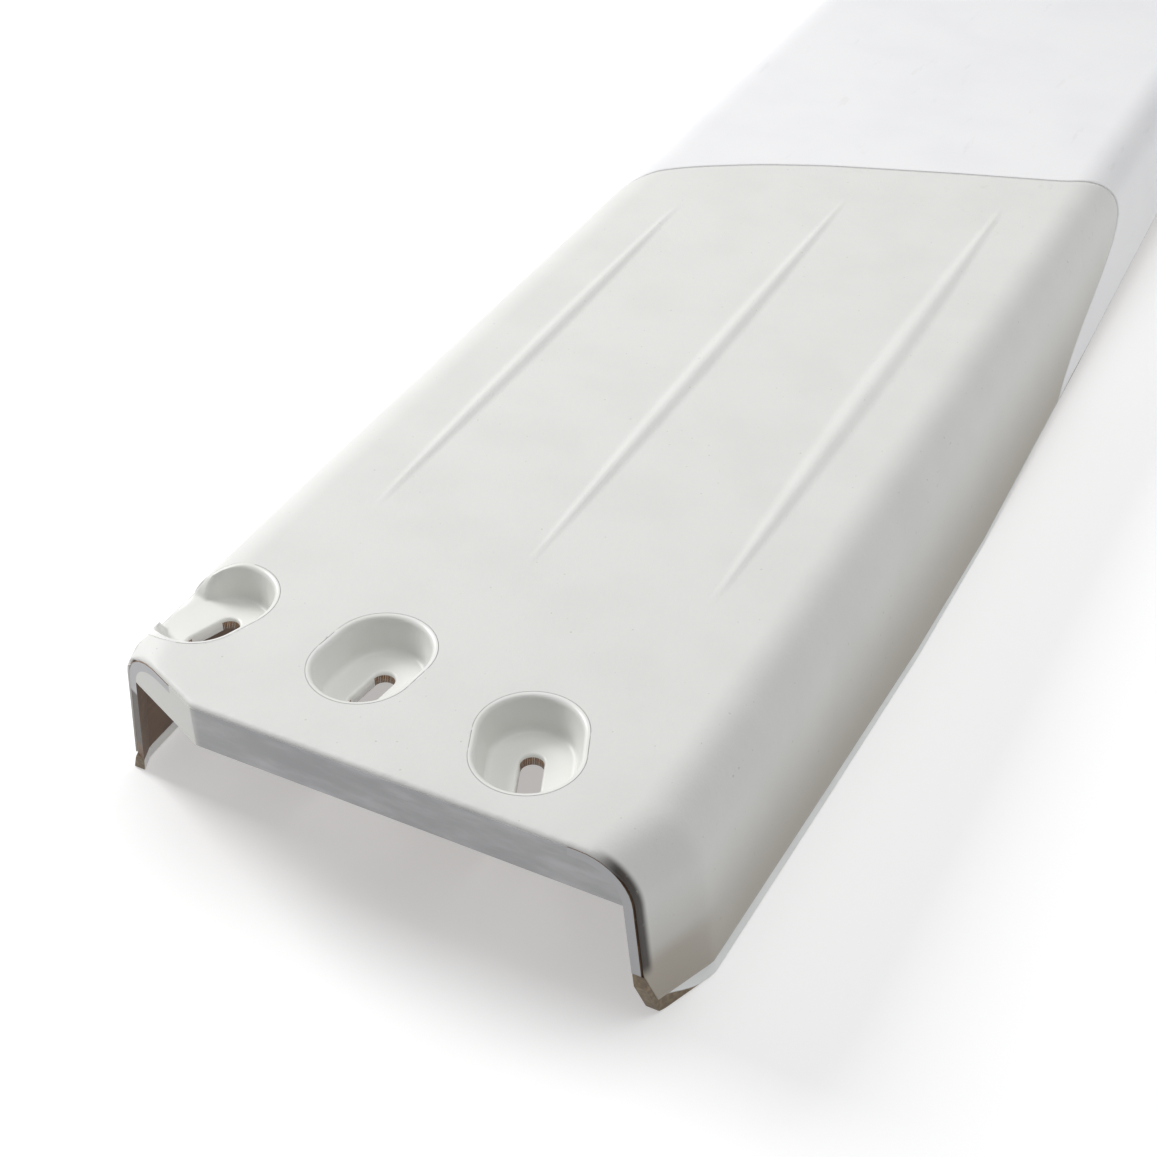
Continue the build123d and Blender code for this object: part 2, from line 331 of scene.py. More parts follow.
@dataclass(frozen=True)
class PebbledAcrylic(Finish):
    """White acrylic skin moulded against a pebbled tool, which breaks the light into fine soft grains.

    Fields:
        rear: Y of the board's rear edge, from which the dark patch on the trimmed skin, the painted shade near
            the rear and the worn front are placed.
        deck: Z of the tread.
    """

    rear: float = 0.0
    deck: float = 0.0

    def make(self) -> bpy.types.Material:
        """Builds the pebbled skin, with painted shade and a painted reflection of a brown floor low on the
        skirts, painted shade near their rear, a dark patch at the trimmed right shoulder and its worn front.

        Returns:
            The material.
        """
        material, tree, shader, places = self.start()
        colour = self.mottle(tree, places)
        # Painted shade with a painted reflection of a brown floor: from 30 mm under the deck the skirts turn
        # darker and warmer down to their foot.
        low = span(tree, places["z"], self.deck - 0.03, 0.0)
        colour = blend_colour(tree, combine(tree, "MULTIPLY", low, 0.85), colour, "A59E92")
        fleck = span(tree, noise(tree, places["all"], 3.2, 0.0), 0.83, 0.87)
        colour = blend_colour(tree, combine(tree, "MULTIPLY", fleck, 0.35), colour, "9A968C")
        # Painted shade: the lower skirt turns darker towards the rear end.
        rear_foot_shade = combine(tree, "MULTIPLY", span(tree, places["y"], self.rear + 0.085, self.rear + 0.02),
                       span(tree, places["z"], 0.062, 0.042))
        colour = blend_colour(tree, combine(tree, "MULTIPLY", rear_foot_shade, 0.75), colour, "A89F92")
        # A dark ragged patch on the trimmed skin at the rear of the right shoulder, above the foot of the
        # skirt.
        edge = span(tree, places["y"], self.rear + 0.0085, self.rear + 0.003)
        shoulder = span(tree, places["x"], 0.174, 0.196)
        patch = span(tree, noise(tree, places["all"], 9.0, 3.0, 0.55), 0.1, 0.33)
        dark_patch = combine(tree, "MULTIPLY", combine(tree, "MULTIPLY", edge, shoulder), patch)
        toe = span(tree, places["z"], 0.036, 0.05)
        colour = blend_colour(tree, combine(tree, "MULTIPLY", dark_patch, toe), colour, "45403C")
        scuff = span(tree, noise(tree, places["all"], 26.0, 6.0, 0.72), 0.60, 0.68)
        worn = span(tree, places["y"], self.rear + 0.80, self.rear + 0.96)
        scuff = combine(tree, "MULTIPLY", combine(tree, "MULTIPLY", scuff, worn), 0.16)
        colour = blend_colour(tree, scuff, colour, "A8A59E")
        tree.links.new(colour, shader.inputs["Base Color"])
        grain = noise(tree, places["all"], self.grain_mm, 2.0, 0.6)
        wave = noise(tree, places["all"], self.grain_mm * 2.6, 1.0)
        self.relief(tree, shader, combine(tree, "ADD", grain, wave), 0.75)
        return material


@dataclass(frozen=True)
class SmoothAcrylic(Finish):
    """White acrylic moulded against a polished tool: an even satin with long shallow waves.

    Fields:
        scuffs: strength of the faint grey scuffs.
        painted_lit_left: sRGB hex of the part past the slanted corner, painted lighter where that face is lit,
            as painted light; a plate that has it is also streaked.
    """

    scuffs: float = 0.0
    painted_lit_left: str = ""

    def make(self) -> bpy.types.Material:
        """Builds the smooth skin, cup or plate.

        Returns:
            The material.
        """
        material, tree, shader, places = self.start()
        colour = self.mottle(tree, places, 90.0)
        if self.painted_lit_left:
            # Painted light: past the slanted corner the plate is lighter, where that face is lit.
            colour = blend_colour(tree, span(tree, places["x"], -0.128, -0.136), colour, self.painted_lit_left)
            streak = add_node(tree, "ShaderNodeMapping", values={"Scale": (0.25, 1.0, 1.0)},
                              links={"Vector": places["all"]})
            cloud = span(tree, noise(tree, streak.outputs[0], 16.0, 4.0, 0.6), 0.4, 0.72)
            colour = blend_colour(tree, combine(tree, "MULTIPLY", cloud, 0.45), colour, "CFCFD2")
        if self.scuffs:
            stretched = add_node(tree, "ShaderNodeMapping", values={"Scale": (1.0, 0.22, 1.0),
                                 "Rotation": (0.0, 0.0, 0.5)}, links={"Vector": places["all"]})
            line = span(tree, noise(tree, stretched.outputs[0], 14.0, 5.0, 0.65), 0.62, 0.7)
            colour = blend_colour(tree, combine(tree, "MULTIPLY", line, self.scuffs), colour, "B9B9B6")
        tree.links.new(colour, shader.inputs["Base Color"])
        self.relief(tree, shader, noise(tree, places["all"], self.grain_mm, 2.0), 0.5)
        return material


@dataclass(frozen=True)
class FootBand(Finish):
    """Pale smooth band over brown laminate, which shows where the band is cut through and at its rear tip.

    Fields:
        rear: Y of the board's rear edge.
    """

    rear: float = 0.0

    def make(self) -> bpy.types.Material:
        """Builds the band with its brown cut faces.

        Returns:
            The material.
        """
        material, tree, shader, places = self.start()
        colour = self.mottle(tree, places, 50.0)
        outward = combine(tree, "ABSOLUTE", places["facing_x"], 0.0)
        cut = span(tree, outward, 0.72, 0.62)
        lobe = span(tree, places["y"], self.rear, self.rear + 0.046)
        limit = combine(tree, "SUBTRACT", combine(tree, "MULTIPLY", lobe, -0.016), -0.016)
        below = span(tree, combine(tree, "SUBTRACT", places["z"], limit), 0.0006, -0.0006)
        brown = combine(tree, "MAXIMUM", combine(tree, "MAXIMUM", cut, below),
                        span(tree, places["y"], self.rear + 0.0105, self.rear + 0.0085))
        speck = span(tree, noise(tree, places["all"], 4.0, 3.0), 0.4, 0.7)
        colour = blend_colour(tree, brown, colour, blend_colour(tree, speck, "6B5A44", "857459"))
        tree.links.new(colour, shader.inputs["Base Color"])
        self.relief(tree, shader, noise(tree, places["all"], self.grain_mm, 2.0), 0.5)
        return material


@dataclass(frozen=True)
class RawLaminate(Finish):
    """Brown glass laminate as it leaves the mould, with strand bundles under a thin resin coat.

    Fields:
        rear: Y of the board's rear edge, where the trimmed laminate is painted.
    """

    rear: float = 0.0

    def make(self) -> bpy.types.Material:
        """Builds the laminate with crossed strands, resin runs and the painted rear trim.

        Returns:
            The material.
        """
        material, tree, shader, places = self.start()
        cloud = span(tree, noise(tree, places["all"], 45.0, 4.0), 0.3, 0.75)
        colour = blend_colour(tree, cloud, self.colour, self.shade)
        strands = []
        for turn in (0.4, 1.9):
            mapped = add_node(tree, "ShaderNodeMapping", values={"Rotation": (0.3, 0.9, turn),
                              "Scale": (1.0, 0.08, 1.0)}, links={"Vector": places["all"]})
            strands.append(noise(tree, mapped.outputs[0], self.grain_mm, 3.0, 0.6))
        strand = combine(tree, "MAXIMUM", strands[0], strands[1])
        light = combine(tree, "MULTIPLY", span(tree, strand, 0.55, 0.75), 0.45)
        colour = blend_colour(tree, light, colour, "8F7658")
        trim = span(tree, places["facing_y"], -0.5, -0.7)
        near = span(tree, places["y"], self.rear + 0.06, self.rear + 0.05)
        above = span(tree, places["z"], 0.026, 0.029)
        low_left = combine(tree, "MULTIPLY", span(tree, places["z"], 0.088, 0.084),
                           span(tree, places["x"], -0.1, -0.15))
        painted = combine(tree, "MULTIPLY", combine(tree, "MULTIPLY", trim, near), above)
        colour = blend_colour(tree, painted, colour, blend_colour(tree, low_left, "B4B4B6", "5A5450"))
        tree.links.new(colour, shader.inputs["Base Color"])
        self.relief(tree, shader, strand)
        return material


@dataclass(frozen=True)
class SawnTimber(Finish):
    """Sawn timber with growth rings drawn out along the board."""

    def make(self) -> bpy.types.Material:
        """Builds the timber with its rings and fibres.

        Returns:
            The material.
        """
        material, tree, shader, places = self.start()
        mapped = add_node(tree, "ShaderNodeMapping", values={"Scale": (1.0, 0.05, 1.0)},
                          links={"Vector": places["all"]})
        rings = noise(tree, mapped.outputs[0], self.grain_mm, 4.0, 0.6)
        colour = ramp(tree, rings, [(0.3, self.colour), (0.6, self.shade)])
        tree.links.new(colour, shader.inputs["Base Color"])
        self.relief(tree, shader, rings)
        return material


@dataclass(frozen=True)
class PaleFloor(Finish):
    """A plain pale studio floor, lit from within a little so that it stays pale under the board."""

    glow: float = 0.5

    def make(self) -> bpy.types.Material:
        """Builds the floor.

        Returns:
            The material.
        """
        material, tree, shader, places = self.start()
        tree.links.new(self.mottle(tree, places, 900.0), shader.inputs["Base Color"])
        shader.inputs["Emission Color"].default_value = linear("FFFFFF")
        shader.inputs["Emission Strength"].default_value = self.glow
        return material


# ---------------------------------------------------------------- shape of the board


@dataclass(frozen=True)
class Form:
    """The board's outer form, in metres, as the frame has it.

    Fields:
        rear, tip: Y of the two ends.
        deck: Z of the tread.
        stations: distance from the rear, half flat width, shoulder radius, lean in degrees.
        level_edge, tip_rise: length of the level foot of the skirts, and its rise from there to the tip.
        rear_toe: length and height of the corner cut off each skirt.
        band, band_end, band_end_height: the foot band's height, where it runs out, and its height there.
        corner_start, corner_slope: where the slanted left corner starts, and its forward run per width.
    """

    rear: float
    tip: float
    deck: float
    stations: tuple = ((0.0, 0.168, 0.042, 6.0), (0.055, 0.185, 0.045, 7.5),
                       (0.24, 0.187, 0.045, 9.5), (0.43, 0.187, 0.045, 12.3))
    level_edge: float = 0.6
    tip_rise: float = 0.076
    rear_toe: tuple = (0.008, 0.027)
    band: float = 0.012
    band_end: float = 0.94
    band_end_height: float = 0.0015
    corner_start: float = 0.133
    corner_slope: float = 0.44

    def station(self, along: float) -> tuple[float, float, float]:
        """Half flat width, shoulder radius and lean in radians at a distance from the rear."""
        flat, radius, lean = (between([(s[0], s[i]) for s in self.stations], along) for i in (1, 2, 3))
        return flat, radius, math.radians(lean)

    def edge(self, along: float) -> float:
        """Z of the skirts' lower edge.

        Args:
            along: distance from the rear edge.

        Returns:
            Its height.
        """
        run = (self.tip - self.rear) - self.level_edge
        rise = self.tip_rise * max(0.0, along - self.level_edge) / run
        toe = self.rear_toe[1] * max(0.0, 1.0 - along / self.rear_toe[0])
        return rise + toe

    def band_top(self, along: float) -> float:
        """Z of the top of the band along the foot."""
        share = min(1.0, along / self.band_end)
        return self.edge(along) + self.band + (self.band_end_height - self.band) * share

    def across(self, along: float, reach: float, foot: float, inset: float = 0.0) -> tuple[Vector, Vector]:
        """A point of the outer surface.

        Args:
            along: distance from the rear edge.
            reach: -3 to 3, where 0 to 1 is deck, 1 to 2 is shoulder and 2 to 3 is skirt.
            foot: Z where the skirt ends.
            inset: distance inward from the surface.

        Returns:
            The point and its outward normal.
        """
        flat, radius, lean = self.station(along)
        side = -1.0 if reach < 0 else 1.0
        part = abs(reach)
        y = self.rear + along
        if part <= 1.0:
            return Vector((side * flat * part, y, self.deck - inset)), Vector((0, 0, 1))
        centre = Vector((side * flat, y, self.deck - radius))
        angle = math.pi / 2 - (math.pi / 2 - lean) * min(1.0, part - 1.0)
        normal = Vector((side * math.cos(angle), 0, math.sin(angle)))
        point = centre + normal * (radius - inset)
        if part > 2.0:
            drop = (point.z - foot) * (part - 2.0)
            point += Vector((side * math.tan(lean) * drop, 0, -drop))
        return point, normal

    def corner(self, x: float) -> float:
        """Distance from the rear at which the board starts, on the slanted left corner too."""
        return max(0.0, (-self.corner_start - x) * self.corner_slope)

    def girth(self, x: float, z: float) -> float:
        """Signed distance from the centre line over the deck and down the side.

        Args:
            x: place across the board.
            z: height above the lowest foot.

        Returns:
            The distance, negative on the left.
        """
        flat = self.stations[-1][1]
        side = -1.0 if x < 0 else 1.0
        return side * (min(abs(x), flat) + max(0.0, abs(x) - flat) + (max(0.0, self.deck - z)
                       if abs(x) > flat else 0.0))


# The seam between the skins: distance over the deck and down the side from the centre line, and from the rear.
SEAM = [(-0.391, 0.700), (-0.266, 0.790), (-0.230, 0.830), (-0.187, 0.872), (-0.164, 0.891), (-0.104, 0.926),
        (-0.042, 0.953), (0.078, 0.993), (0.187, 1.026), (0.215, 1.045), (0.250, 1.056), (0.283, 1.050),
        (0.302, 1.010), (0.322, 0.945), (0.345, 0.870), (0.391, 0.790)]
SEAM_EASE = 0.012  # how far each corner of the seam is spread


def seam_at(form: Form, x: float, z: float) -> float:
    """Distance from the rear of the line where the pebbled skin meets the smooth one."""
    girth = form.girth(x, z)
    return sum(between(SEAM, girth + step * SEAM_EASE) for step in (-1, 0, 1)) / 3.0


def finish_piece(mesh: bmesh.types.BMesh, name: str, material: bpy.types.Material, slot: Slot,
                 *nodes: str, recalculate: bool = True) -> bpy.types.Object:
    """Turns a bmesh into a piece that rides on the board.

    Args:
        mesh: the shape, in place.
        name: the piece's name.
        material: its finish.
        slot: the record's slot for it; not used.
        nodes: the CAD nodes that it stands for.
        recalculate: whether its normals are worked out afresh.

    Returns:
        The object.
    """
    if recalculate:
        bmesh.ops.recalc_face_normals(mesh, faces=mesh.faces)
    data = bpy.data.meshes.new(name)
    mesh.to_mesh(data)
    mesh.free()
    for face in data.polygons:
        face.use_smooth = True
    data.materials.append(material)
    piece = bpy.data.objects.new(name, data)
    bpy.context.scene.collection.objects.link(piece)
    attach(piece, "root")
    if nodes:
        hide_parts(*nodes)
    LOG.info("piece %s: %d faces", name, len(data.polygons))
    return piece


def grid_piece(columns: int, rows: int, mapping: Mapping) -> bmesh.types.BMesh:
    """A grid laid over a surface.

    Args:
        columns: cells across.
        rows: cells along.
        mapping: gives the place of a point from its two shares, each 0 to 1.

    Returns:
        The open surface.
    """
    mesh = bmesh.new()
    bmesh.ops.create_grid(mesh, x_segments=columns, y_segments=rows, size=0.5)
    for vert in mesh.verts:
        vert.co = mapping(vert.co.x + 0.5, vert.co.y + 0.5)
    return mesh


def face_up(mesh: bmesh.types.BMesh) -> None:
    """Turns the faces of an open surface the same way, with its upper side outwards.

    Args:
        mesh: the skin, which is cut.
    """
    bmesh.ops.recalc_face_normals(mesh, faces=mesh.faces)
    if sum(face.normal.z * face.calc_area() for face in mesh.faces) < 0:
        bmesh.ops.reverse_faces(mesh, faces=mesh.faces)


def add_wall(piece: bpy.types.Object, thickness: float, offset: float = -1.0) -> None:
    """Gives an open surface its wall.

    Args:
        piece: the object.
        thickness: thickness of the wall.
        offset: -1 to grow it inward.
    """
    wall = piece.modifiers.new("wall", "SOLIDIFY")
    wall.thickness = thickness
    wall.offset = offset
    wall.use_even_offset = False


# ---------------------------------------------------------------- sub-assemblies


@dataclass(frozen=True)
class Pocket:
    """One bolt pocket: its centre, from the centre line and from the rear, and its turn in degrees."""

    number: int
    across: float
    along: float
    turn: float
    breaks_out: bool = False


@dataclass
class PocketCup:
    """A smooth drafted cup with a rolled rim and a slotted floor.

    Fields:
        form: the board's form.
        pocket: its place.
        rim, mouth, floor: half widths of the stadium at the rim's edge, below the rim and on the floor.
        stretch: length of the stadium's straight sides.
        lip: flat edge of the rim outside its rounding.
        slot_run: how far the slot's wall goes on below the base.
        clearance: how far inside the rim the tread skin is cut.
        mouth_half, mouth_reach, mouth_inner: half width of the side outlet, and where it starts outward.
        mouth_start, mouth_ease, mouth_ramp: where the wall begins to lie down, and over what distances.
        mouth_lean: share of the ramp by which the outlet narrows outward.
        depth: depth of the floor under the tread.
    """

    form: Form
    pocket: Pocket
    rim: float = 0.0404
    mouth: float = 0.0355
    floor: float = 0.0318
    stretch: float = 0.022
    depth: float = 0.028
    fillet: float = 0.005
    slot_half: float = 0.0085
    slot_stretch: float = 0.027
    slot_round: float = 0.0022
    setback: float = 0.004
    base: float = 0.031
    segments: int = 72
    round_steps: int = 6
    mouth_half: float = 0.0265
    mouth_reach: float = 0.0375
    mouth_inner: float = 0.02
    mouth_start: float = 0.004
    mouth_ease: float = 0.008
    mouth_ramp: float = 0.006
    mouth_lean: float = 0.8
    lip: float = 0.0006
    slot_run: float = 0.0068
    clearance: float = 0.0003
    wall: float = 0.0012

    def rings(self) -> list[tuple[float, float, float, float]]:
        """Half width, stretch, drop and setback of each ring, from the rim to the slot's lower end.

        Returns:
            The rings, in the order that they are drawn.
        """
        rounding = self.rim - self.mouth - self.lip
        rings = [(self.rim, self.stretch, 0.0, 0.0), (self.rim - self.lip, self.stretch, 0.0, 0.0)]
        for step in range(1, self.round_steps + 1):
            angle = math.pi / 2 * step / self.round_steps
            rings.append((self.mouth + rounding * (1 - math.sin(angle)), self.stretch,
                          rounding * (1 - math.cos(angle)), 0.0))
        rings.append(((self.mouth + self.floor) / 2, self.stretch, self.depth * 0.5, 0.0))
        for step in range(0, self.round_steps + 1):
            angle = math.pi / 2 * step / self.round_steps
            rings.append((self.floor - self.fillet * (1 - math.cos(angle)), self.stretch,
                          self.depth - self.fillet * (1 - math.sin(angle)), 0.0))
        for share in (0.3, 0.65):
            width = self.floor - self.fillet
            inner = self.slot_half + self.slot_round
            rings.append((width + (inner - width) * share,
                          self.stretch + (self.slot_stretch - self.stretch) * share, self.depth,
                          self.setback * share))
        for step in range(0, self.round_steps + 1):
            angle = math.pi / 2 * step / self.round_steps
            rings.append((self.slot_half + self.slot_round * (1 - math.sin(angle)), self.slot_stretch,
                          self.depth + self.slot_round * (1 - math.cos(angle)), self.setback))
        rings.append((self.slot_half, self.slot_stretch, self.base + self.slot_run, self.setback))
        return rings

    def spot(self, angle: float, half: float, stretch: float, setback: float) -> Vector:
        """A point of a stadium about the pocket's centre, level with the tread.

        Args:
            angle: angle about the pocket's centre.
            half: half width of the stadium.
            stretch: length of its straight sides.
            setback: how far its centre sits to the rear.

        Returns:
            The point.
        """
        forward = half * math.cos(angle)
        forward += (stretch / 2) * (1 if math.cos(angle) >= 0 else -1) - setback
        pocket = self.pocket
        turned = Matrix.Rotation(math.radians(pocket.turn), 2) @ Vector((-half * math.sin(angle), forward))
        return Vector((pocket.across + turned.x, self.form.rear + pocket.along + turned.y, self.form.deck))

    def place(self, angle: float, ring: tuple[float, float, float, float]) -> Vector:
        """The point of a ring at an angle about the pocket's centre.

        Args:
            angle: angle about the pocket's centre.
            ring: half width, stretch, drop and setback.

        Returns:
            The point.
        """
        half, stretch, drop, setback = ring
        point = self.under_tread(self.spot(angle, half, stretch, setback) - Vector((0, 0, drop)))
        return self.open_side(point, angle, half) if self.pocket.breaks_out else point

    def under_tread(self, point: Vector) -> Vector:
        """Keeps a point from standing above the shoulder.

        Args:
            point: the point, which may be moved.

        Returns:
            The point.
        """
        flat, radius, _ = self.form.station(self.pocket.along)
        over = abs(point.x) - flat
        if over > 0:
            top = self.form.deck - radius + math.sqrt(max(0.0, radius ** 2 - min(over, radius) ** 2))
            point.z = min(point.z, top)
        return point

    def open_side(self, point: Vector, angle: float, half: float) -> Vector:
        """Lays the wall onto the floor where the pocket breaks out, out to the shoulder's surface.

        Args:
            point: the point, which may be moved.
            angle: angle about the pocket's centre.
            half: half width of the stadium.

        Returns:
            The point.
        """
        centre, out, along = self.mouth_sides()
        reach, sideways = (point - centre).dot(out), (point - centre).dot(along)
        gone = smooth((reach - self.mouth_start) / self.mouth_ease)
        gone *= smooth((self.mouth_half - abs(sideways)) / self.mouth_ramp)
        if gone and point.z > centre.z:
            edge = (self.spot(angle, self.rim, self.stretch, 0.0) - centre).dot(out)
            end = (-self.surface_reach(centre.z) - centre.x - along.x * sideways) / out.x
            inner = self.floor - self.fillet
            share = min(1.0, max(0.0, (half - inner) / (self.rim - inner)))
            point += out * (end - edge) * share * gone
            point.z += (centre.z - point.z) * gone
        return point

    def surface_reach(self, z: float) -> float:
        """Distance of the shoulder's surface from the centre line at a height.

        Args:
            z: the height.

        Returns:
            The distance.
        """
        flat, radius, _ = self.form.station(self.pocket.along)
        rise = z - (self.form.deck - radius)
        return flat + math.sqrt(max(0.0, radius ** 2 - rise ** 2))

    def build(self, material: bpy.types.Material) -> bpy.types.Object:
        """Draws the cup ring by ring, from its rim to the foot of its slot.

        Args:
            material: the finish.

        Returns:
            The piece.
        """
        mesh = bmesh.new()
        rings = self.rings()
        made = bmesh.ops.create_circle(mesh, segments=self.segments, radius=1.0)
        verts = list(made["verts"])
        angles = [math.atan2(v.co.x, v.co.y) + math.pi / self.segments for v in verts]
        edges = list(mesh.edges)
        for vert, angle in zip(verts, angles):
            vert.co = self.place(angle, rings[0])
        for ring in rings[1:]:
            grown = bmesh.ops.extrude_edge_only(mesh, edges=edges)["geom"]
            new = [item for item in grown if isinstance(item, bmesh.types.BMVert)]
            edges = [item for item in grown if isinstance(item, bmesh.types.BMEdge)
                     and all(vert in new for vert in item.verts)]
            angles = [self.angle_of(vert, verts, angles) for vert in new]
            verts = new
            for vert, angle in zip(verts, angles):
                vert.co = self.place(angle, ring)
        face_up(mesh)
        name = f"pocket_{self.pocket.number}_cup"
        piece = finish_piece(mesh, name, material, Slot.CUP, f"pocket_cup_{self.pocket.number}",
                             recalculate=False)
        add_wall(piece, self.wall)
        return piece

    @staticmethod
    def angle_of(vert: bmesh.types.BMVert, verts: list, angles: list[float]) -> float:
        """The angle of the older point that a new one was drawn out of."""
        older = {edge.other_vert(vert) for edge in vert.link_edges}
        return next(angle for before, angle in zip(verts, angles) if before in older)

    def outline(self) -> list[Vector]:
        """The plan outline that the skin is cleared to, turning from the left to the right.

        Returns:
            Its points.
        """
        sealed = PocketCup(self.form, Pocket(0, self.pocket.across, self.pocket.along, self.pocket.turn))
        ring = (self.rim - self.clearance, self.stretch, 0.0, 0.0)
        turns = (2 * math.pi * (step + 0.5) / self.segments for step in range(self.segments))
        return [Vector((*sealed.place(-turn, ring).xy, 0.0)) for turn in turns]

    def mouth_sides(self) -> tuple[Vector, Vector, Vector]:
        """A point between the two sides of the side outlet, its way out and its way along.

        Returns:
            The point and the two directions.
        """
        turn = Matrix.Rotation(math.radians(self.pocket.turn / 2), 3, "Z")
        centre = Vector((self.pocket.across, self.form.rear + self.pocket.along, self.form.deck - self.depth))
        return centre, turn @ Vector((-1, 0, 0)), turn @ Vector((0, 1, 0))


@dataclass
class TreadSkin:
    """The pebbled rear skin with its three raised ribs, from foot to foot over the shoulders.

    Fields:
        form: the board's form.
        pockets: the pockets that pass through it.
        ribs: place across, rear end and front end of each rib.
        rib_half, rib_least, rib_height: greatest half width of each rib, its half width at the ends, height.
        edge_round, least_round: radius of the rear lip on the deck, and what it has on the skirts.
        edge_rows, edge_band: rows of cells close to the rear lip, and how far they reach.
        lumps, lump_pitch: height of the rear lip's unevenness, and its steps in a metre.
        shares: share across for each reach of the form, which sets how the columns are spread.
        cut_reach, cut_width: distance from a cup, and from a cut, within which faces are looked at.
    """

    form: Form
    pockets: list[Pocket]
    ribs: tuple = ((-0.142, 0.255, 0.812), (0.0, 0.247, 0.890), (0.142, 0.262, 0.942))
    rib_half: tuple = (0.009, 0.010, 0.013)
    rib_least: float = 0.001
    rib_height: float = 0.0029
    wall: float = 0.003
    edge_round: float = 0.0036
    least_round: float = 0.0005
    edge_rows: int = 10
    edge_band: float = 0.009
    lumps: float = 0.0007
    lump_pitch: float = 160.0
    seam_round: float = 0.0012
    columns: int = 256
    rows: int = 184
    shares: tuple = ((0.0, -3.0), (0.11, -2.0), (0.20, -1.0), (0.80, 1.0), (0.89, 2.0), (1.0, 3.0))
    cut_reach: float = 0.075
    cut_width: float = 0.009

    def rib_lift(self, x: float, along: float) -> float:
        """How far the ribs lift the tread at a point.

        Args:
            x: place across the board.
            along: distance from the rear edge.

        Returns:
            The lift.
        """
        lift = 0.0
        for (across, rear, front), half in zip(self.ribs, self.rib_half):
            share = (along - rear) / (front - rear)
            if 0.0 < share < 1.0:
                width = half * math.sin(math.pi * share) ** 0.8 + self.rib_least
                away = abs(x - across) / width
                if away < 1.0:
                    crest = math.sin(math.pi * share) ** 0.5
                    lift = max(lift, self.rib_height * crest * smooth(1.0 - away))
        return lift

    def point(self, across_share: float, along_share: float) -> Vector:
        """The place of a point of the skin from its shares across and along.

        Args:
            across_share: place across, 0 to 1.
            along_share: place along, 0 to 1.

        Returns:
            The point.
        """
        reach = between(list(self.shares), across_share)
        edge_share = self.edge_rows / self.rows
        guess = 0.0
        for _ in range(3):
            spot, _ = self.form.across(guess, reach, self.form.band_top(guess))
            start = self.form.corner(spot.x)
            end = seam_at(self.form, spot.x, spot.z)
            if along_share < edge_share:
                along = start + self.edge_band * along_share / edge_share
            else:
                rest = (along_share - edge_share) / (1 - edge_share)
                along = start + self.edge_band + (end - start - self.edge_band) * rest
            guess = along
        from_edge, from_seam = along - start, end - along
        upper = smooth((spot.z - self.form.deck + 0.018) / 0.016)
        inset = self.roll(from_edge, self.least_round + self.edge_round * upper)
        inset += self.roll(from_seam, self.seam_round)
        lip = smooth(1.0 - from_edge / self.edge_band) * smooth((spot.z - self.form.deck + 0.016) / 0.012)
        inset += lip * self.lumps * (0.5 + 0.5 * field_noise.noise(spot * self.lump_pitch))
        spot, normal = self.form.across(along, reach, self.form.band_top(along), inset)
        spot += normal * self.rib_lift(spot.x, along)
        return spot

    @staticmethod
    def roll(away: float, radius: float) -> float:
        """Inset of a rolled edge at a distance from it.

        Args:
            away: distance from the edge.
            radius: radius of the edge's round.

        Returns:
            The inset.
        """
        if away >= radius:
            return 0.0
        return radius - math.sqrt(max(0.0, radius ** 2 - (radius - max(0.0, away)) ** 2))

    def build(self, material: bpy.types.Material) -> bpy.types.Object:
        """Lays the skin over the form, clears it for the cups and gives it its wall.

        Args:
            material: the finish.

        Returns:
            The piece.
        """
        mesh = grid_piece(self.columns, self.rows, self.point)
        face_up(mesh)
        for pocket in self.pockets:
            self.clear(mesh, PocketCup(self.form, pocket))
        piece = finish_piece(mesh, "pebbled_skin", material, Slot.TREAD, "tread_skin", recalculate=False)
        add_wall(piece, self.wall)
        return piece

    def clear(self, mesh: bmesh.types.BMesh, cup: PocketCup) -> None:
        """Cuts the skin along the outline of one cup and takes out what lies within.

        Args:
            mesh: the skin, which is cut.
            cup: the cup.
        """
        outline = cup.outline()
        centre = sum(outline, Vector()) / len(outline)
        near = set(self.close_to(mesh.faces, centre, self.cut_reach))
        sides = []
        for first, second in zip(outline, outline[1:] + outline[:1]):
            step = second - first
            away = Vector((step.y, -step.x, 0.0)).normalized()
            if away.dot(first - centre) < 0:
                away.negate()
            sides.append((first, away))
            close = self.close_to(near, (first + second) / 2, self.cut_width)
            near = self.knife(mesh, near, close, first, away)
        inside = self.within(near, sides)
        if cup.pocket.breaks_out:
            near, beyond = self.open_mouth(mesh, cup, near)
            inside = list(set(self.within(near, sides)) | beyond)
            floor = self.form.deck - cup.depth
            inside = [face for face in inside if face.calc_center_median().z > floor - 1e-5]
        bmesh.ops.delete(mesh, geom=inside, context="FACES")

    @staticmethod
    def close_to(faces: Iterable, spot: Vector, reach: float) -> list:
        """The faces whose middles lie within a distance of a point, seen from above."""
        return [face for face in faces if (face.calc_center_median().xy - spot.xy).length < reach]

    @staticmethod
    def within(faces: Iterable, sides: list) -> list:
        """The faces whose middles lie behind every one of some planes."""
        return [face for face in faces
                if all((face.calc_center_median() - place).dot(away) < 0 for place, away in sides)]

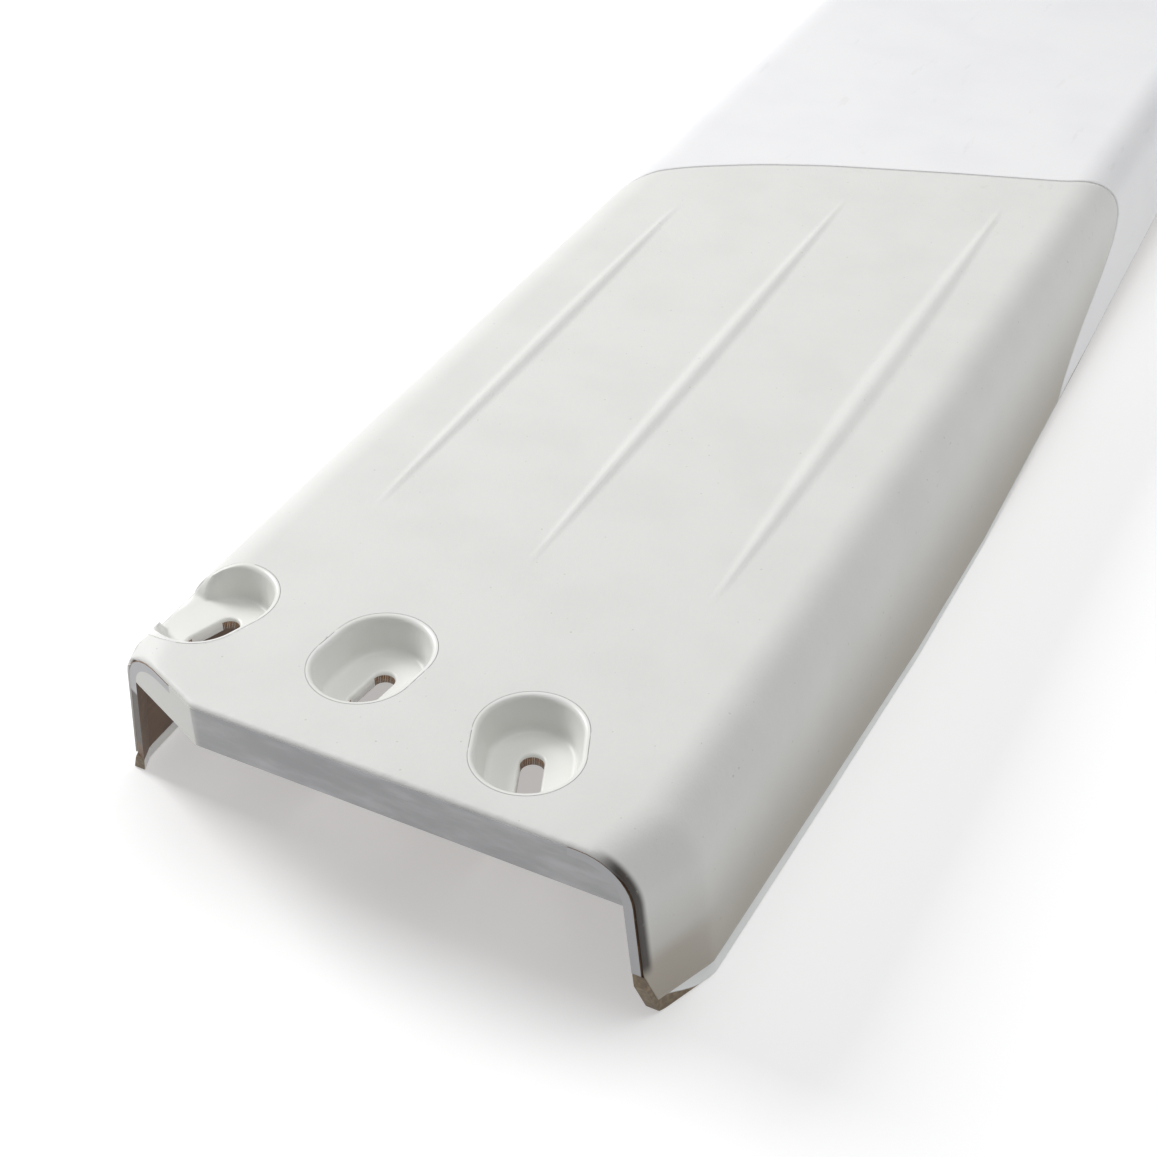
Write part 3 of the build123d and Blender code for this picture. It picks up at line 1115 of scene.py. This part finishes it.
    def open_mouth(self, mesh: bmesh.types.BMesh, cup: PocketCup, near: set) -> tuple[set, set]:
        """Cuts the shoulder where a pocket breaks out, and returns all near faces and those to take out.

        Args:
            mesh: the skin, which is cut.
            cup: the cup.
            near: the faces near the cup.

        Returns:
            The near faces, and those of them to take out.
        """
        centre, out, along = cup.mouth_sides()
        planes = [(centre, Vector((0, 0, -1)))]
        for side in (-1.0, 1.0):
            foot = side * (cup.mouth_half - cup.mouth_ramp * cup.mouth_lean)
            end = (-cup.surface_reach(centre.z) - centre.x - along.x * foot) / out.x
            first = centre + out * cup.mouth_reach + along * side * cup.mouth_half
            second = centre + out * end + along * foot
            away = Vector((second.y - first.y, first.x - second.x, 0.0)).normalized()
            planes.append((first, away if away.dot(along) * side > 0 else -away))
        for place, away in planes:
            outer = [face for face in near if (face.calc_center_median() - centre).dot(out) > 0.0]
            near = self.knife(mesh, near, outer, place, away)
        beyond = {face for face in self.within(near, planes)
                  if (face.calc_center_median() - centre).dot(out) > cup.mouth_inner}
        return near, beyond

    @staticmethod
    def knife(mesh: bmesh.types.BMesh, near: set, faces: list, place: Vector, normal: Vector) -> set:
        """Cuts some faces along a plane and returns the set of near faces as it is afterwards.

        Args:
            mesh: the skin, which is cut.
            near: the faces near the cup.
            faces: the faces to cut.
            place: a point of the plane.
            normal: the plane's normal.

        Returns:
            The near faces.
        """
        edges = {edge for face in faces for edge in face.edges}
        verts = {vert for face in faces for vert in face.verts}
        cut = bmesh.ops.bisect_plane(mesh, geom=[*verts, *edges, *faces], dist=1e-6, plane_co=place,
                                     plane_no=normal)
        return near | {item for item in cut["geom"] if isinstance(item, bmesh.types.BMFace)}


@dataclass
class FrontSkin:
    """The smooth skin from the seam to the tip, with the rounded nose.

    Fields:
        form: the board's form.
        nose_half, nose_radius: half width of the tip and the radius of its corners seen from above.
        nose_round: radius of the tip's top edge.
        run_share, turn_share: shares of the rows up to the nose's turn and up to the tip.
        spacing: power that draws the rows together at the seam.
        merge: distance within which points are made one.
    """

    form: Form
    wall: float = 0.003
    nose_half: float = 0.254
    nose_radius: float = 0.085
    nose_round: float = 0.040
    seam_round: float = 0.0012
    run_share: float = 0.6
    turn_share: float = 0.86
    spacing: float = 1.5
    merge: float = 5e-5
    columns: int = 180
    rows: int = 120
    shares: tuple = ((0.0, -3.0), (0.11, -2.0), (0.22, -1.0), (0.78, 1.0), (0.89, 2.0), (1.0, 3.0))

    def place_along(self, start: float, along_share: float) -> float:
        """Distance from the rear of a row: close rows at the seam, then even steps round the nose.

        Args:
            start: where the skin starts at the seam.
            along_share: place along, 0 to 1.

        Returns:
            The distance.
        """
        turn = self.form.tip - self.form.rear - self.nose_radius
        if along_share < self.run_share:
            return start + (turn - start) * (along_share / self.run_share) ** self.spacing
        share = min(1.0, (along_share - self.run_share) / (self.turn_share - self.run_share))
        return turn + self.nose_radius * math.sin(share * math.pi / 2)

    def point(self, across_share: float, along_share: float) -> Vector:
        """The place of a point of the skin from its shares across and along.

        Args:
            across_share: place across, 0 to 1.
            along_share: place along, 0 to 1.

        Returns:
            The point.
        """
        form = self.form
        reach = between(list(self.shares), across_share)
        along = start = 1.0
        for _ in range(3):
            spot, _ = form.across(along, reach, form.band_top(along))
            start = seam_at(form, spot.x, spot.z)
            along = self.place_along(start, along_share)
        inset = TreadSkin.roll(along - start, self.seam_round)
        foot = form.band_top(along)
        spot, _ = form.across(along, reach, foot, inset)
        from_tip = form.tip - form.rear - along
        half = self.nose_half - self.nose_radius + self.round_off(from_tip, self.nose_radius)
        spot.x = math.copysign(min(abs(spot.x), half), spot.x)
        spot.z = min(spot.z, form.deck - self.nose_round + self.round_off(from_tip, self.nose_round))
        down = max(0.0, (along_share - self.turn_share) / (1.0 - self.turn_share))
        spot.z += (foot - spot.z) * down
        return spot

    @staticmethod
    def round_off(from_tip: float, radius: float) -> float:
        """Height of a quarter round over its foot at a distance from the tip."""
        past = max(0.0, radius - from_tip)
        return math.sqrt(max(0.0, radius ** 2 - past ** 2))

    def build(self, material: bpy.types.Material) -> bpy.types.Object:
        """Lays the skin over the front of the form and gives it its wall.

        Args:
            material: the finish.

        Returns:
            The piece.
        """
        mesh = grid_piece(self.columns, self.rows, self.point)
        bmesh.ops.remove_doubles(mesh, verts=mesh.verts, dist=self.merge)
        bmesh.ops.dissolve_degenerate(mesh, edges=mesh.edges, dist=self.merge)
        face_up(mesh)
        piece = finish_piece(mesh, "smooth_skin", material, Slot.FRONT, "front_skin", recalculate=False)
        add_wall(piece, self.wall)
        return piece


@dataclass
class EdgeBand:
    """The pale band along the foot of one skirt, with a face that leans out under the skin.

    Fields:
        form: the board's form.
        side: which skirt it is on.
        wall, set_in: thickness of the band, and how far its upper edge sits in from the skin.
        settle: length at the rear over which the upper edge moves in.
        steps, spacing: cuts along the band, and the power that draws them together at the rear.
        nose: length at the tip without a band.
        corner_at, corner_over: where the left band's start is read from the slanted corner, and its overlap.
        edge_round: width of the small bevel on its edges.
    """

    form: Form
    side: Side
    wall: float = 0.010
    set_in: float = 0.0022
    steps: int = 150
    nose: float = 0.12
    settle: float = 0.06
    spacing: float = 1.25
    corner_at: float = 0.045
    corner_over: float = 0.012
    edge_round: float = 0.0007

    def build(self, material: bpy.types.Material, node: str) -> bpy.types.Object:
        """Draws a bar along the foot and fits it to the skirt.

        Args:
            material: the finish.
            node: the CAD node that it stands for.

        Returns:
            The piece.
        """
        form = self.form
        mesh = bmesh.new()
        bmesh.ops.create_cube(mesh, size=1.0)
        long_edges = [e for e in mesh.edges if abs((e.verts[0].co - e.verts[1].co).y) > 0.5]
        bmesh.ops.subdivide_edges(mesh, edges=long_edges, cuts=self.steps, use_grid_fill=True)
        reach = 3.0 * self.side.value
        start = 0.0
        if self.side is Side.LEFT:
            spot, _ = form.across(self.corner_at, reach, 0.0)
            start = form.corner(spot.x + self.corner_over)
        end = form.tip - form.rear - self.nose
        for vert in mesh.verts:
            share = vert.co.y + 0.5
            along = start + (end - start) * share ** self.spacing
            upper = vert.co.z > 0
            outer = vert.co.x * self.side.value > 0
            low, high = form.edge(along), form.band_top(along)
            z = high if upper else low
            inset = (self.set_in * smooth(along / self.settle) if upper else 0.0) if outer else self.wall
            _, _, lean = form.station(along)
            spot, _ = form.across(along, reach, z, 0.0)
            vert.co = (spot.x - self.side.value * inset / math.cos(lean), spot.y, z)
        piece = finish_piece(mesh, f"foot_band_{self.side.name.lower()}", material, Slot.BAND, node)
        bevel = piece.modifiers.new("edge", "BEVEL")
        bevel.width = self.edge_round
        bevel.segments = 2
        bevel.limit_method = "ANGLE"
        for face in piece.data.polygons:
            face.use_smooth = False
        return piece


@dataclass
class Studio:
    """Pale floor, soft lights and the camera.

    Fields:
        form: the board's form, which the camera's place is measured from.
        lens, sensor: focal length and sensor width in millimetres.
        camera_right, camera_behind, camera_above: the camera's place from the middle of the rear edge.
        tilt, turn, roll: its tilt up from straight down, its turn to the left and its roll, in degrees.
    """

    form: Form
    lens: float = 61.3
    sensor: float = 36.0
    camera_right: float = 0.5787
    camera_behind: float = 0.7682
    camera_above: float = 0.9025
    tilt: float = 51.77
    turn: float = 27.94
    roll: float = -0.85

    def camera(self) -> None:
        """Places the camera behind, above and to the right of the rear end."""
        data = bpy.data.cameras.new("camera")
        data.lens = self.lens
        data.sensor_width = self.sensor
        data.clip_start = 0.05
        camera = bpy.data.objects.new("camera", data)
        camera.location = (self.camera_right, self.form.rear - self.camera_behind,
                           self.form.deck + self.camera_above)
        turned = Matrix.Rotation(math.radians(self.turn), 4, "Z")
        turned = turned @ Matrix.Rotation(math.radians(self.tilt), 4, "X")
        turned = turned @ Matrix.Rotation(math.radians(self.roll), 4, "Z")
        camera.rotation_euler = turned.to_euler()
        bpy.context.scene.collection.objects.link(camera)
        bpy.context.scene.camera = camera

    def light(self, name: str, place: tuple, aim: tuple, size: float, watts: float) -> None:
        """Adds one soft square light aimed at a point.

        Args:
            name: its name.
            place: where it hangs.
            aim: the point that it faces.
            size: its side.
            watts: its power.
        """
        data = bpy.data.lights.new(name, "AREA")
        data.shape = "SQUARE"
        data.size = size
        data.energy = watts
        light = bpy.data.objects.new(name, data)
        light.location = place
        away = Vector(aim) - Vector(place)
        light.rotation_euler = away.to_track_quat("-Z", "Y").to_euler()
        bpy.context.scene.collection.objects.link(light)

    def floor(self, finish: PaleFloor) -> None:
        """Lays the floor under the board.

        Args:
            finish: the floor's finish.
        """
        mesh = bmesh.new()
        bmesh.ops.create_grid(mesh, x_segments=4, y_segments=4, size=12.0)
        data = bpy.data.meshes.new("floor")
        mesh.to_mesh(data)
        mesh.free()
        data.materials.append(finish.make())
        floor = bpy.data.objects.new("floor", data)
        floor.location = (0, 0, -0.0005)
        bpy.context.scene.collection.objects.link(floor)

    def world(self, strength: float) -> None:
        """Surrounds the scene with even pale light.

        Args:
            strength: how strong it is.
        """
        world = bpy.data.worlds.new("surround")
        world.use_nodes = True
        background = world.node_tree.nodes["Background"]
        background.inputs["Color"].default_value = linear("FDFEFF")
        background.inputs["Strength"].default_value = strength
        bpy.context.scene.world = world

    def build(self) -> None:
        """Sets up the whole studio."""
        bpy.context.scene.view_settings.view_transform = "Standard"
        self.camera()
        self.floor(PaleFloor("pale_floor", "D2D2D2", "D0D0D0", 0.9, glow=0.42))
        self.light("key", (-3.0, -0.25, 2.3), (0.0, -0.25, 0.1), 1.4, 104.0)
        self.light("overhead", (0.2, 0.1, 3.0), (0.0, -0.1, 0.1), 2.4, 38.0)
        self.light("front_fill", (2.2, 1.4, 1.3), (0.2, 0.2, 0.05), 1.4, 9.0)
        self.world(0.30)


@dataclass
class Board:
    """The whole board.

    Fields:
        form: the board's form.
        pockets: the three bolt pockets, from left to right.
    """

    form: Form
    pockets: list[Pocket] = field(default_factory=lambda: [
        Pocket(1, -0.185, 0.100, -20.0, True), Pocket(2, -0.047, 0.099, -6.0), Pocket(3, 0.094, 0.072, 22.0)])

    def skins(self) -> None:
        """Makes the two skins, the cups and the bands."""
        form = self.form
        pebbled = PebbledAcrylic("pebbled_white_acrylic", "D9D9D6", "D6D6D3", 0.55, 1.49, 1.7, 0.16,
                                 rear=form.rear, deck=form.deck).make()
        smooth_white = SmoothAcrylic("polished_white_acrylic", "E9E9EA", "E6E6E8", 0.38, 1.49, 7.0, 0.03,
                                     scuffs=0.12).make()
        cup_white = SmoothAcrylic("moulded_white_cup", "E4E4E1", "DFDFDB", 0.35, 1.49, 3.0, 0.03).make()
        band_white = FootBand("pale_band_acrylic", "EDEFEE", "E6E9E8", 0.42, 1.49, 4.0, 0.03,
                              rear=form.rear).make()
        TreadSkin(form, self.pockets).build(pebbled)
        FrontSkin(form).build(smooth_white)
        for pocket in self.pockets:
            PocketCup(form, pocket).build(cup_white)
        for side in Side:
            EdgeBand(form, side).build(band_white, f"edge_band_{side.name.lower()}")

    def carcass(self) -> None:
        """Gives the carried-over frame nodes their finishes."""
        laminate = RawLaminate("brown_glass_laminate", "745A43", "5E4735", 0.55, 1.55, 5.0, 0.25,
                               rear=self.form.rear).make()
        # Painted shade: the end plate's white face is given a grey colour for its shade, and painted lighter
        # past the slanted corner where it is lit.
        plate = SmoothAcrylic("painted_shade_end_plate", "A8A8A9", "A2A2A4", 0.42, 1.49, 6.0, 0.04,
                              painted_lit_left="CDCDC7").make()
        timber = SawnTimber("sawn_fir", "B98F62", "9A7147", 0.7, 1.5, 3.5, 0.1).make()
        hardwood = SawnTimber("sawn_oak", "8F6B45", "6F5034", 0.65, 1.5, 2.5, 0.1).make()
        rubber = SmoothAcrylic("moulded_black_rubber", "262626", "2E2E2D", 0.75, 1.52, 1.5, 0.1).make()
        by_slot = {Slot.LAMINATE: laminate, Slot.END_PLATE: plate, Slot.TIMBER: timber,
                   Slot.BLOCK: hardwood, Slot.PAD: rubber}
        slots = {row["node"]: row["material_slot"] for row in frame["record"]["subparts"]}
        for name, node in frame["nodes"].items():
            finish = by_slot.get(Slot(slots[name]))
            if finish:
                node.data.materials.clear()
                node.data.materials.append(finish)

    def build(self) -> None:
        """Makes every piece of the board."""
        self.skins()
        self.carcass()


def main() -> None:
    """Builds the studio and the board."""
    logging.basicConfig(level=logging.INFO, format="%(name)s: %(message)s")
    low, high = (Vector(corner) for corner in CAD_BOX)
    form = Form(rear=low.y, tip=high.y, deck=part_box("front_skin")[1].z)
    Studio(form).build()
    Board(form).build()


if __name__ == "__main__":
    main()
